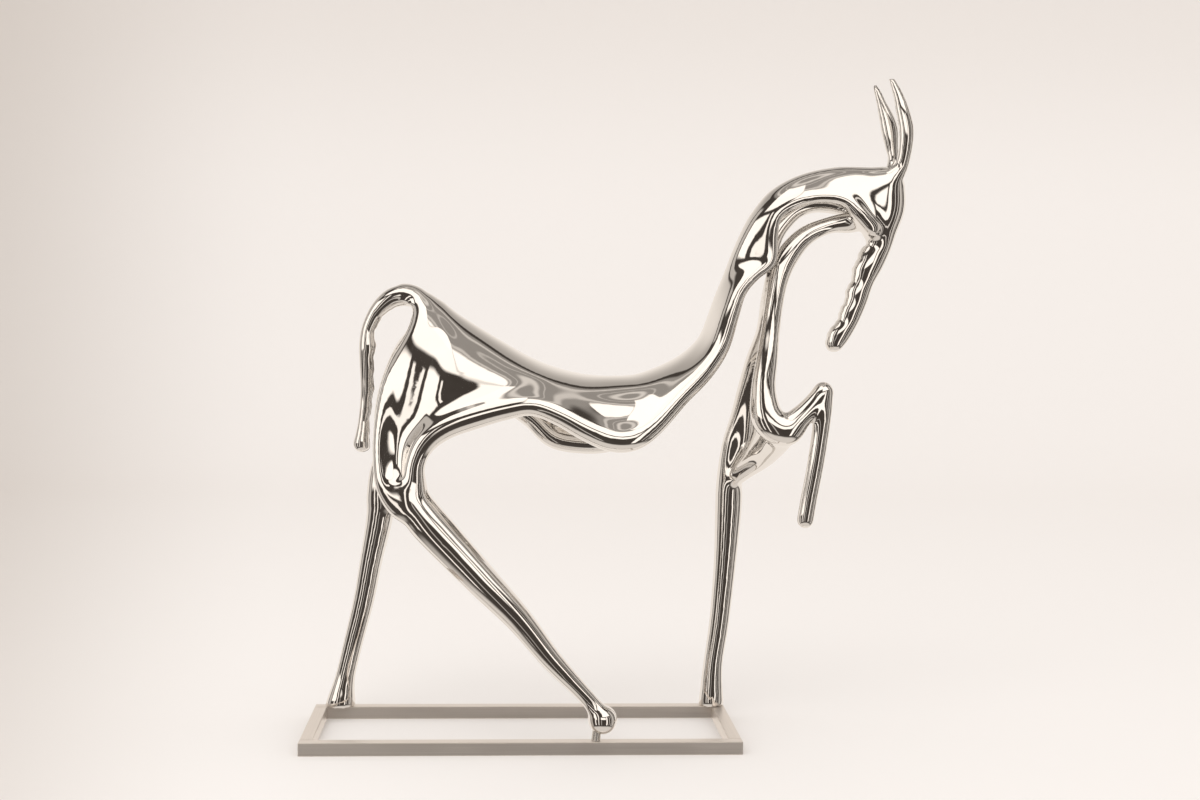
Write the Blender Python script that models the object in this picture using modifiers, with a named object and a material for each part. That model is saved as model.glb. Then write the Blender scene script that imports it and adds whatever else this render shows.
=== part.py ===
# Polished steel horse made of joined bars and bent skins, standing on a frame of square tube.
# Metres, +Z up, head towards +X, left flank towards -Y, origin under the middle of the whole.
import bmesh
import bpy
import numpy as np
from mathutils import Vector

# Horse: height from the top of the frame to the tip of the taller ear
FIGURE_HEIGHT = 1.509
SKIN = 0.014
GAP = 0.0003

# Frame of four lengths of square tube; its length and middle are shares of the figure's height,
# so the hind feet always stand on its left end
BASE_LENGTH = 0.6627 * FIGURE_HEIGHT
BASE_CENTRE_X = -0.1312 * FIGURE_HEIGHT
BASE_WIDTH = 0.360
RAIL = 0.030
RAIL_EDGE = 0.0015

# Pin that carries the forward hoof above the front rail: it stands behind the hoof's middle
# by a share of the hoof's radius
PIN_DIAMETER = 0.020
PIN_LEAN = 0.10
PIN_BEHIND = 0.45
SOCKET_DEPTH = 0.008
PIN_SIDES = 32

# Half the distance between the middle lines of the front and back rails
STANCE = (BASE_WIDTH - RAIL) / 2

# Fineness of the joined surface
VOXEL = 0.0058
FACES = 8800
SMOOTH_ROUNDS = 4
SOFTNESS = 0.5
BAR_SIDES = 5
BALL_DETAIL = 3

# Every point is (x, y, z, radius): x, z and radius are shares of the figure's height,
# with z counted from the top of the frame; y is a share of STANCE.
# One rib runs over the back from the rim of the left skin to the rim of the right skin:
# (top of the back x, z), (left rim point), (right rim point).
RIBS = (
    ((-0.320, 0.680), (-0.296, -0.12, 0.646, 0.0085), (-0.297, 0.12, 0.646, 0.0085)),
    ((-0.307, 0.680), (-0.293, -0.21, 0.614, 0.0092), (-0.295, 0.21, 0.614, 0.0093)),
    ((-0.291, 0.675), (-0.316, -0.33, 0.587, 0.0091), (-0.321, 0.33, 0.585, 0.0094)),
    ((-0.283, 0.670), (-0.335, -0.48, 0.536, 0.0098), (-0.343, 0.48, 0.532, 0.0110)),
    ((-0.278, 0.667), (-0.344, -0.61, 0.479, 0.0113), (-0.354, 0.61, 0.476, 0.0127)),
    ((-0.274, 0.665), (-0.344, -0.73, 0.424, 0.0134), (-0.352, 0.73, 0.421, 0.0135)),
    ((-0.269, 0.662), (-0.334, -0.80, 0.376, 0.0171), (-0.357, 0.79, 0.372, 0.0199)),
    ((-0.263, 0.658), (-0.308, -0.84, 0.347, 0.0208), (-0.352, 0.82, 0.338, 0.0223)),
    ((-0.255, 0.653), (-0.295, -0.86, 0.374, 0.0193), (-0.334, 0.85, 0.359, 0.0192)),
    ((-0.244, 0.644), (-0.294, -0.89, 0.410, 0.0156), (-0.320, 0.88, 0.392, 0.0176)),
    ((-0.229, 0.633), (-0.280, -0.91, 0.443, 0.0170), (-0.299, 0.90, 0.429, 0.0160)),
    ((-0.197, 0.613), (-0.249, -0.91, 0.467, 0.0178), (-0.261, 0.91, 0.458, 0.0160)),
    ((-0.163, 0.593), (-0.205, -0.91, 0.484, 0.0185), (-0.209, 0.91, 0.478, 0.0160)),
    ((-0.127, 0.573), (-0.161, -0.91, 0.496, 0.0170), (-0.161, 0.91, 0.491, 0.0160)),
    ((-0.097, 0.560), (-0.120, -0.91, 0.502, 0.0163), (-0.121, 0.91, 0.472, 0.0168)),
    ((-0.063, 0.550), (-0.079, -0.91, 0.488, 0.0170), (-0.084, 0.91, 0.438, 0.0168)),
    ((-0.030, 0.544), (-0.041, -0.91, 0.468, 0.0185), (-0.040, 0.91, 0.429, 0.0168)),
    ((0.004, 0.543), (-0.002, -0.90, 0.453, 0.0200), (0.002, 0.90, 0.431, 0.0168)),
    ((0.037, 0.545), (0.031, -0.88, 0.455, 0.0200), (0.043, 0.88, 0.448, 0.0176)),
    ((0.068, 0.555), (0.062, -0.82, 0.475, 0.0178), (0.081, 0.82, 0.478, 0.0176)),
    ((0.099, 0.570), (0.100, -0.70, 0.514, 0.0155), (0.118, 0.70, 0.514, 0.0167)),
    ((0.121, 0.586), (0.138, -0.55, 0.552, 0.0158), (0.151, 0.55, 0.553, 0.0158)),
    ((0.139, 0.607), (0.165, -0.42, 0.591, 0.0151), (0.174, 0.42, 0.595, 0.0149)),
    ((0.152, 0.642), (0.182, -0.33, 0.640, 0.0137), (0.189, 0.33, 0.641, 0.0133)),
    ((0.162, 0.671), (0.196, -0.28, 0.675, 0.0114), (0.205, 0.28, 0.677, 0.0117)),
    ((0.173, 0.699), (0.219, -0.26, 0.700, 0.0091), (0.226, 0.26, 0.701, 0.0094)),
    ((0.185, 0.732), (0.244, -0.24, 0.719, 0.0076), (0.251, 0.24, 0.720, 0.0078)),
    ((0.198, 0.763), (0.248, -0.26, 0.748, 0.0061), (0.262, 0.26, 0.759, 0.0094)),
    ((0.215, 0.795), (0.252, -0.28, 0.787, 0.0061), (0.273, 0.28, 0.781, 0.0117)),
    ((0.245, 0.831), (0.277, -0.29, 0.808, 0.0068), (0.293, 0.29, 0.802, 0.0125)),
    ((0.290, 0.856), (0.317, -0.29, 0.819, 0.0076), (0.321, 0.29, 0.812, 0.0125)),
    ((0.345, 0.869), (0.356, -0.27, 0.815, 0.0091), (0.357, 0.27, 0.809, 0.0125)),
    ((0.397, 0.870), (0.377, -0.25, 0.798, 0.0122), (0.386, 0.25, 0.800, 0.0140)),
    ((0.439, 0.869), (0.400, -0.21, 0.774, 0.0137), (0.405, 0.21, 0.778, 0.0140)),
)

# Bars that thicken and thin along their length
FORWARD_HIND_LEG = (
    (-0.313, -0.84, 0.373, 0.0193),
    (-0.298, -0.84, 0.357, 0.0260),
    (-0.278, -0.84, 0.330, 0.0290),
    (-0.249, -0.85, 0.298, 0.0286),
    (-0.194, -0.89, 0.240, 0.0252),
    (-0.137, -0.93, 0.181, 0.0203),
    (-0.088, -0.97, 0.121, 0.0162),
    (-0.033, -1.00, 0.063, 0.0122),
    (-0.011, -1.00, 0.032, 0.0177),
)
HOOF = (*FORWARD_HIND_LEG[-1][:3], 0.0221)
REAR_HIND_LEG = (
    (-0.354, 0.79, 0.359, 0.0191),
    (-0.357, 0.82, 0.337, 0.0223),
    (-0.360, 0.85, 0.304, 0.0211),
    (-0.373, 0.90, 0.239, 0.0181),
    (-0.385, 0.94, 0.173, 0.0168),
    (-0.403, 0.98, 0.099, 0.0157),
    (-0.415, 1.00, 0.046, 0.0162),
    (-0.422, 1.00, 0.002, 0.0238),
    (-0.423, 1.00, -0.011, 0.0241),
)
THROAT = (
    (0.398, 0.00, 0.800, 0.0190),
    (0.374, 0.00, 0.785, 0.0172),
    (0.339, 0.00, 0.779, 0.0131),
    (0.302, 0.00, 0.762, 0.0154),
    (0.275, -0.03, 0.732, 0.0177),
    (0.261, -0.07, 0.698, 0.0154),
    (0.253, -0.12, 0.661, 0.0143),
    (0.246, -0.21, 0.616, 0.0147),
    (0.239, -0.33, 0.570, 0.0167),
    (0.233, -0.42, 0.525, 0.0189),
    (0.239, -0.48, 0.482, 0.0249),
    (0.265, -0.52, 0.464, 0.0250),
    (0.287, -0.55, 0.484, 0.0180),
    (0.307, -0.55, 0.505, 0.0158),
    (0.322, -0.55, 0.523, 0.0157),
)
RAISED_SHIN = (
    (0.322, -0.55, 0.523, 0.0160),
    (0.323, -0.54, 0.496, 0.0138),
    (0.320, -0.53, 0.465, 0.0136),
    (0.313, -0.52, 0.411, 0.0132),
    (0.305, -0.48, 0.360, 0.0131),
    (0.300, -0.47, 0.326, 0.0131),
)
STANDING_FORELEG = (
    (0.251, 0.06, 0.712, 0.0071),
    (0.245, 0.12, 0.662, 0.0096),
    (0.243, 0.27, 0.615, 0.0112),
    (0.232, 0.42, 0.567, 0.0140),
    (0.222, 0.55, 0.524, 0.0134),
    (0.213, 0.65, 0.478, 0.0136),
    (0.202, 0.73, 0.429, 0.0151),
    (0.201, 0.80, 0.372, 0.0207),
    (0.201, 0.85, 0.323, 0.0216),
    (0.198, 0.91, 0.240, 0.0183),
    (0.191, 0.96, 0.141, 0.0164),
    (0.182, 1.00, 0.065, 0.0161),
    (0.180, 1.00, 0.001, 0.0207),
    (0.180, 1.00, -0.012, 0.0209),
)
CHEST_BAND = (
    (0.197, 0.76, 0.366, 0.0135),
    (0.222, 0.55, 0.391, 0.0150),
    (0.247, 0.24, 0.415, 0.0164),
    (0.259, -0.18, 0.441, 0.0191),
    (0.265, -0.52, 0.464, 0.0218),
)
TAIL = (
    (-0.306, 0.00, 0.660, 0.0150),
    (-0.320, 0.00, 0.662, 0.0160),
    (-0.335, 0.00, 0.658, 0.0154),
    (-0.349, 0.00, 0.647, 0.0142),
    (-0.361, 0.00, 0.632, 0.0123),
    (-0.371, 0.00, 0.610, 0.0108),
    (-0.372, 0.00, 0.586, 0.0131),
    (-0.373, 0.00, 0.560, 0.0114),
    (-0.372, 0.00, 0.520, 0.0105),
    (-0.375, 0.00, 0.486, 0.0092),
    (-0.378, 0.00, 0.458, 0.0099),
    (-0.380, 0.00, 0.434, 0.0136),
)
HEAD = (
    (0.424, 0.00, 0.837, 0.0316),
    (0.423, 0.00, 0.808, 0.0331),
    (0.417, 0.00, 0.777, 0.0283),
    (0.418, 0.00, 0.750, 0.0192),
    (0.403, 0.00, 0.723, 0.0223),
    (0.392, 0.00, 0.695, 0.0188),
    (0.382, 0.00, 0.664, 0.0185),
    (0.372, 0.00, 0.636, 0.0170),
    (0.359, 0.00, 0.612, 0.0170),
    (0.350, 0.00, 0.598, 0.0159),
)
LEFT_EAR = (
    (0.435, -0.12, 0.855, 0.0138),
    (0.445, -0.12, 0.868, 0.0107),
    (0.450, -0.18, 0.895, 0.0110),
    (0.451, -0.21, 0.925, 0.0119),
    (0.444, -0.21, 0.955, 0.0107),
    (0.438, -0.18, 0.976, 0.0085),
    (0.431, -0.18, 0.992, 0.0064),
    (0.426, -0.18, 1.003, 0.0046),
)
RIGHT_EAR = (
    (0.439, 0.12, 0.860, 0.0124),
    (0.441, 0.15, 0.885, 0.0093),
    (0.438, 0.18, 0.904, 0.0109),
    (0.435, 0.21, 0.928, 0.0137),
    (0.430, 0.21, 0.946, 0.0124),
    (0.421, 0.18, 0.968, 0.0084),
    (0.415, 0.18, 0.984, 0.0064),
    (0.410, 0.18, 0.995, 0.0046),
)

# Where the neck's two rims are joined to the throat bar: number of the rib and of the bar's point
LINK_RIB = 26
LINK_POINT = 5
LINK_RADIUS = 0.0085

# The chest skin spans from the throat bar to the standing foreleg's bar: pairs of points
CHEST_RIBS = (
    ((0.256, -0.07, 0.696), (0.249, 0.09, 0.694)),
    ((0.252, -0.12, 0.661), (0.244, 0.12, 0.662)),
    ((0.246, -0.21, 0.616), (0.241, 0.27, 0.615)),
    ((0.239, -0.33, 0.570), (0.230, 0.42, 0.567)),
    ((0.236, -0.42, 0.525), (0.220, 0.55, 0.524)),
    ((0.248, -0.49, 0.480), (0.211, 0.65, 0.478)),
    ((0.258, -0.40, 0.448), (0.203, 0.73, 0.429)),
    ((0.247, 0.05, 0.418), (0.199, 0.78, 0.380)),
)
CHEST_BULGE = 0.022

# Widening of the skins between back and rim, and flattening of head and ears side to side
FLANK_BULGE = 0.10
HEAD_WIDTH = 0.80
EAR_WIDTH = 0.55

# Points added between two given ones, and points across a skin
STEPS = 5
RIB_STEPS = 12


def place(points):
    """Shares to metres."""
    p = np.array(points, float)
    out = p * FIGURE_HEIGHT
    out[:, 1] = p[:, 1] * STANCE
    out[:, 2] += RAIL
    return out


def smooth_line(points, steps):
    """Points along a smooth line that passes through the given ones."""
    p = np.vstack((2 * points[0] - points[1], points, 2 * points[-1] - points[-2]))
    t = np.arange(steps)[:, None] / steps
    out = []
    for a, b, c, d in zip(p, p[1:], p[2:], p[3:]):
        out.append(b + t / 2 * (c - a + t * (2 * a - 5 * b + 4 * c - d + t * (3 * (b - c) + d - a))))
    return np.vstack(out + [points[-1:]])


def collection(name, hidden):
    group = bpy.data.collections.new(name)
    bpy.context.scene.collection.children.link(group)
    group.hide_render = hidden
    return group


def clear_scene():
    for item in list(bpy.data.objects):
        bpy.data.objects.remove(item, do_unlink=True)


def steel(name, colour, roughness):
    """Metal with a colour and a roughness."""
    material = bpy.data.materials.new(name)
    material.use_nodes = True
    shader = material.node_tree.nodes["Principled BSDF"]
    shader.inputs["Base Color"].default_value = (*colour, 1.0)
    shader.inputs["Roughness"].default_value = roughness
    shader.inputs["Metallic"].default_value = 1.0
    return material


def mesh_from(bm, name):
    mesh = bpy.data.meshes.new(name)
    bm.to_mesh(mesh)
    bm.free()
    return mesh


def bar_mesh(points, width=1.0):
    """Round bar along a smooth line, its radius changing, flattened side to side by width."""
    line = smooth_line(place(points), STEPS)
    curve = bpy.data.curves.new("bar", "CURVE")
    curve.dimensions = "3D"
    curve.bevel_depth = 1.0
    curve.bevel_resolution = BAR_SIDES
    curve.use_fill_caps = True
    spline = curve.splines.new("POLY")
    spline.points.add(len(line) - 1)
    for point, value in zip(spline.points, line):
        point.co = (*value[:3], 1.0)
        point.radius = value[3]
    item = bpy.data.objects.new("bar", curve)
    bpy.context.scene.collection.objects.link(item)
    bpy.context.view_layer.update()
    graph = bpy.context.evaluated_depsgraph_get()
    mesh = bpy.data.meshes.new_from_object(item.evaluated_get(graph))
    bpy.data.objects.remove(item, do_unlink=True)
    bpy.data.curves.remove(curve)
    bm = bmesh.new()
    bm.from_mesh(mesh)
    bpy.data.meshes.remove(mesh)
    bmesh.ops.remove_doubles(bm, verts=bm.verts, dist=0.00001)
    middle = line[:, 1].mean()
    for vert in bm.verts:
        vert.co.y = middle + (vert.co.y - middle) * width
    return mesh_from(bm, "bar")


def ball_mesh(point, width=1.0):
    """Ball at a bar's end."""
    x, y, z, radius = place((point,))[0]
    bm = bmesh.new()
    bmesh.ops.create_icosphere(bm, subdivisions=BALL_DETAIL, radius=radius)
    for vert in bm.verts:
        vert.co.y *= width
        vert.co += Vector((x, y, z))
    return mesh_from(bm, "ball")


def skin_mesh(rows):
    """Sheet of four-sided faces through rows of points, thickened inwards."""
    bm = bmesh.new()
    verts = [[bm.verts.new(point) for point in row] for row in rows]
    for low, high in zip(verts, verts[1:]):
        for a, b, c, d in zip(low, low[1:], high[1:], high):
            bm.faces.new((a, b, c, d))
    mesh = mesh_from(bm, "skin")
    item = bpy.data.objects.new("skin", mesh)
    bpy.context.scene.collection.objects.link(item)
    solid = item.modifiers.new("thickness", "SOLIDIFY")
    solid.thickness = SKIN
    solid.offset = 1.0
    bpy.context.view_layer.update()
    graph = bpy.context.evaluated_depsgraph_get()
    result = bpy.data.meshes.new_from_object(item.evaluated_get(graph))
    bpy.data.objects.remove(item, do_unlink=True)
    bpy.data.meshes.remove(mesh)
    return result


def back_rows():
    """Arches over the back: each side a quarter oval from the spine out and down to a rim."""
    spine = smooth_line(place([(x, 0.0, z) for (x, z), left, right in RIBS]), STEPS)
    left = smooth_line(place([rib[1] for rib in RIBS]), STEPS)
    right = smooth_line(place([rib[2] for rib in RIBS]), STEPS)
    angle = np.linspace(0, np.pi / 2, RIB_STEPS)[:, None]
    rows = []
    for top, one, two in zip(spine, left, right):
        halves = []
        for rim in (one, two):
            half = top + (rim[:3] - top) * (1 - np.cos(angle))
            swell = 1 + FLANK_BULGE * np.sin(2 * angle)
            half[:, 1] = (rim[1] * np.sin(angle) * swell)[:, 0]
            halves.append(half)
        rows.append(np.vstack((halves[0][::-1], halves[1][1:])))
    return rows


def chest_rows():
    """Arcs from the throat bar to the standing foreleg's bar, bowed forwards."""
    left = smooth_line(place([rib[0] for rib in CHEST_RIBS]), STEPS)
    right = smooth_line(place([rib[1] for rib in CHEST_RIBS]), STEPS)
    share = np.linspace(0, 1, RIB_STEPS)[:, None]
    rows = []
    for one, two in zip(left, right):
        row = one + (two - one) * share
        reach = np.linalg.norm(two - one) / STANCE
        row[:, 0] += (np.sin(np.pi * share) * CHEST_BULGE * reach)[:, 0]
        rows.append(row)
    return rows


def links():
    """Short bars that tie both rims of the neck to the throat bar, so each window is closed."""
    end = (*THROAT[LINK_POINT][:3], LINK_RADIUS)
    bars = []
    for side in (1, 2):
        start = (*RIBS[LINK_RIB][side][:3], LINK_RADIUS)
        bars.append((start, end))
    return bars


def joined(meshes):
    """One mesh that holds the closed shapes side by side, still crossing each other."""
    bm = bmesh.new()
    for mesh in meshes:
        bm.from_mesh(mesh)
        bpy.data.meshes.remove(mesh)
    return mesh_from(bm, "horse")


def apply_all(item):
    """The modifiers' result becomes the object's own mesh."""
    bpy.context.view_layer.update()
    graph = bpy.context.evaluated_depsgraph_get()
    result = bpy.data.meshes.new_from_object(item.evaluated_get(graph))
    old = item.data
    item.modifiers.clear()
    item.data = result
    bpy.data.meshes.remove(old)


def make_horse(parts, cutters, material):
    """Skins, bars and balls fused into one closed surface, then cut for the feet and the pin."""
    left_rim = [rib[1] for rib in RIBS]
    right_rim = [rib[2] for rib in RIBS]
    meshes = [skin_mesh(back_rows()), skin_mesh(chest_rows())]
    bars = (left_rim, right_rim, FORWARD_HIND_LEG, REAR_HIND_LEG, THROAT, RAISED_SHIN)
    bars += (STANDING_FORELEG, CHEST_BAND, TAIL)
    for bar in (*bars, *links()):
        meshes.append(bar_mesh(bar))
    for point in (TAIL[-1], RAISED_SHIN[0], RAISED_SHIN[-1], HOOF):
        meshes.append(ball_mesh(point))
    meshes.append(bar_mesh(HEAD, HEAD_WIDTH))
    meshes.append(ball_mesh(HEAD[0], HEAD_WIDTH))
    meshes.append(ball_mesh(HEAD[-1], HEAD_WIDTH))
    meshes.append(bar_mesh(LEFT_EAR, EAR_WIDTH))
    meshes.append(bar_mesh(RIGHT_EAR, EAR_WIDTH))
    horse = bpy.data.objects.new("horse", joined(meshes))
    parts.objects.link(horse)
    fuse = horse.modifiers.new("fuse", "REMESH")
    fuse.mode = "VOXEL"
    fuse.voxel_size = VOXEL
    soften = horse.modifiers.new("soften", "SMOOTH")
    soften.factor = SOFTNESS
    soften.iterations = SMOOTH_ROUNDS
    apply_all(horse)
    thin = horse.modifiers.new("thin", "DECIMATE")
    thin.ratio = FACES / (2 * len(horse.data.polygons))
    apply_all(horse)
    for cutter in (foot_cutter(cutters), socket_cutter(cutters)):
        cut = horse.modifiers.new("cut", "BOOLEAN")
        cut.operation = "DIFFERENCE"
        cut.solver = "EXACT"
        cut.object = cutter
        apply_all(horse)
    for face in horse.data.polygons:
        face.use_smooth = True
    horse.data.materials.append(material)
    return horse


def block(name, group, size, centre):
    """Box of a size about its middle."""
    bm = bmesh.new()
    bmesh.ops.create_cube(bm, size=1.0)
    bmesh.ops.scale(bm, vec=size, verts=bm.verts)
    item = bpy.data.objects.new(name, mesh_from(bm, name))
    item.location = centre
    group.objects.link(item)
    return item


def foot_cutter(cutters):
    """Everything of the horse under this block's top is cut away, so the feet are flat."""
    size = (2 * BASE_LENGTH, 2 * BASE_WIDTH, BASE_WIDTH)
    cutter = block("foot_cutter", cutters, size, (0, 0, RAIL + GAP - BASE_WIDTH / 2))
    cutter.display_type = "WIRE"
    return cutter


def pin_shape(name, group, radius, low, high):
    """Slightly leaning round bar under the hoof, cut level at both ends."""
    x, y, z, ball = place((HOOF,))[0]
    foot = Vector((x - ball * PIN_BEHIND, y, 0.0))
    bm = bmesh.new()
    bmesh.ops.create_cone(
        bm, cap_ends=True, segments=PIN_SIDES, radius1=radius, radius2=radius, depth=high - low
    )
    for vert in bm.verts:
        vert.co.z += (high + low) / 2
        vert.co.x += (vert.co.z - RAIL) * PIN_LEAN
    item = bpy.data.objects.new(name, mesh_from(bm, name))
    item.location = foot
    group.objects.link(item)
    return item


def pin_top():
    """Height of the pin's upper end: inside the ball of the hoof by the socket's depth."""
    x, y, z, ball = place((HOOF,))[0]
    return z - ball + SOCKET_DEPTH


def socket_cutter(cutters):
    """The pin grown by the gap, which makes the hoof's socket."""
    cutter = pin_shape("socket_cutter", cutters, PIN_DIAMETER / 2 + GAP, 0.0, pin_top() + GAP)
    cutter.display_type = "WIRE"
    return cutter


def make_pin(parts, material):
    """The pin, from the front rail into the socket."""
    pin = pin_shape("hoof_pin", parts, PIN_DIAMETER / 2, RAIL + GAP, pin_top())
    pin.data.materials.append(material)
    for face in pin.data.polygons:
        face.use_smooth = len(face.vertices) == 4
    return pin


def make_rails(parts, material):
    """Front and back rails run the full length; the side rails sit between them."""
    side = BASE_WIDTH - 2 * RAIL - 2 * GAP
    reach = (BASE_LENGTH - RAIL) / 2
    rails = (
        ("rail_front", (BASE_LENGTH, RAIL, RAIL), (0.0, -STANCE)),
        ("rail_back", (BASE_LENGTH, RAIL, RAIL), (0.0, STANCE)),
        ("rail_left", (RAIL, side, RAIL), (-reach, 0.0)),
        ("rail_right", (RAIL, side, RAIL), (reach, 0.0)),
    )
    for name, size, (x, y) in rails:
        rail = block(name, parts, size, (BASE_CENTRE_X + x, y, RAIL / 2))
        edge = rail.modifiers.new("edge", "BEVEL")
        edge.width = RAIL_EDGE
        edge.segments = 2
        apply_all(rail)
        rail.data.materials.append(material.copy())


def main():
    clear_scene()
    parts = collection("steel_horse", False)
    cutters = collection("cutters", True)
    make_horse(parts, cutters, steel("polished steel", (0.80, 0.78, 0.75), 0.05))
    make_pin(parts, steel("pin steel", (0.62, 0.59, 0.55), 0.20))
    make_rails(parts, steel("satin steel", (0.42, 0.38, 0.34), 0.38))


main()
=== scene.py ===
# %% [markdown]
# # A polished steel horse on a frame of square tube
#
# The horse is welded from sheet steel and polished until it mirrors the room. It is made of
# bars that swell and thin like drawn toffee, and of skins stretched between them. We load the
# CAD model as a fixed frame first, because every visible piece has to sit where it says.

# %% Load the frame
import math

import bpy
import numpy as np
from mathutils import Matrix, Vector


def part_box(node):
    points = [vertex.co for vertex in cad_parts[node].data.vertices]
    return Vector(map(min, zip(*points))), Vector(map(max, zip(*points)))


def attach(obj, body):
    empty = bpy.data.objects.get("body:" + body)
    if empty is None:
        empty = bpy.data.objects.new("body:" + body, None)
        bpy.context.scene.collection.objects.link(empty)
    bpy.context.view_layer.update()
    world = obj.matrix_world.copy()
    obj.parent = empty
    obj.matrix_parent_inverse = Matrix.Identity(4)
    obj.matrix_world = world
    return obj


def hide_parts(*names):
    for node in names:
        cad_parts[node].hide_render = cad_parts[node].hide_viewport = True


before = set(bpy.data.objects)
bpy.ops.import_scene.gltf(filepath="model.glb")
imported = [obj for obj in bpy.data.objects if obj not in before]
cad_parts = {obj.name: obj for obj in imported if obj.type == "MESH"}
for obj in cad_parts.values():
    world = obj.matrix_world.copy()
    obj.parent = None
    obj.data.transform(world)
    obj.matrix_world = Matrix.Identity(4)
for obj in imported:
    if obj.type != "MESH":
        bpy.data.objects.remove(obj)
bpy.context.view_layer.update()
horse_low, horse_high = (np.array(corner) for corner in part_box("horse"))
rail_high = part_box("rail_front")[1]
back_low, back_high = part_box("rail_back")

# %% [markdown]
# ## The camera
#
# The photograph looks at the left flank from chest height, turned a little towards the head and
# tilted a little down. Distance, turn and tilt were worked out from the corners of the frame:
# its front corners lie 446 pixels apart and its back corners 407.

# %% Camera
EYE = Vector((-0.2433, -3.7991, 1.0140))
TURN, TILT, ROLL = 0.0583, -0.0584, 0.0120
LENS = 49.0


def make_camera():
    """Camera at EYE, turned TURN to the right of +Y, tilted by TILT, rolled by ROLL."""
    data = bpy.data.cameras.new("camera")
    data.lens = LENS
    data.sensor_width = 36.0
    camera = bpy.data.objects.new("camera", data)
    forward = Vector((math.sin(TURN) * math.cos(TILT), math.cos(TURN) * math.cos(TILT),
                      math.sin(TILT)))
    right = Vector((math.cos(TURN), -math.sin(TURN), 0.0))
    up = right.cross(forward)
    side = right * math.cos(ROLL) + up * math.sin(ROLL)
    top = up * math.cos(ROLL) - right * math.sin(ROLL)
    camera.matrix_world = Matrix.Translation(EYE) @ Matrix(
        (side, top, -forward)).transposed().to_4x4()
    bpy.context.scene.collection.objects.link(camera)
    bpy.context.scene.camera = camera


make_camera()
print("camera stands at", tuple(round(v, 3) for v in EYE))

# %% [markdown]
# ## The lines of the figure
#
# Lengths are shares of the figure's height, and y is a share of the distance from the middle
# plane to a rail's middle line, so the feet always stand on the rails. A rib runs over the back
# from the rim of the left flank to the rim of the right flank. A bar is a line of points, each
# with its own radius.

# %% Ribs over the back
FIGURE_HEIGHT = 1.509
STANCE = (back_high.y + back_low.y) / 2
RAIL_TOP = float(rail_high.z)

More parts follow.
